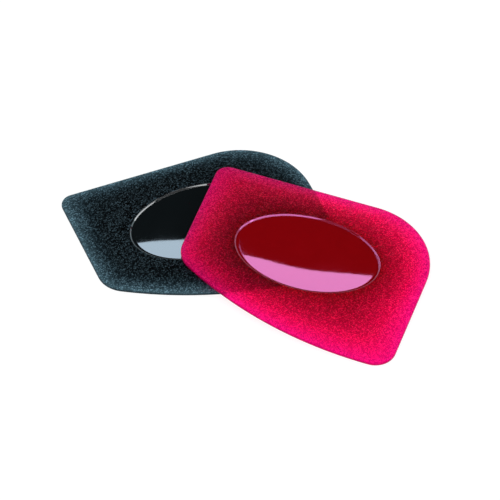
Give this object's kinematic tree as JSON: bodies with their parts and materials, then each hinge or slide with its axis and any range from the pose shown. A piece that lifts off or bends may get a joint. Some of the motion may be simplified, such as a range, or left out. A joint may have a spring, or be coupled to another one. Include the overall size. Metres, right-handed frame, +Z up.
{
  "type": "pan scraper",
  "caption": "Pair of flat hand-held plastic pan scrapers with different corner curves, thin scraping edges, crowned grainy faces and a glossy sunken thumb oval",
  "frame": {"origin": "on the table, under the middle of the black scraper's thumb oval, at the centre of its flat back's rest mount", "axes": "+Z up, square to the black scraper's flat back; +X along its long straight side, towards its widest corner; +Y towards that long straight side"},
  "size_m": [0.1177, 0.1209, 0.0062],
  "materials": {
    "black_plastic": "black moulded polycarbonate, fine pebble grain, with a polished thumb oval",
    "red_plastic": "translucent red moulded polycarbonate, fine pebble grain, with a polished thumb oval"
  },
  "bodies": {
    "black": {"black_scraper": "black_plastic"},
    "red": {"red_scraper": "red_plastic"}
  },
  "joints": [
    {"name": "lift_red_off", "type": "slide", "parent": "black", "child": "red", "axis": [0, 0, 1], "range_m": [0, 0.05]}
  ]
}
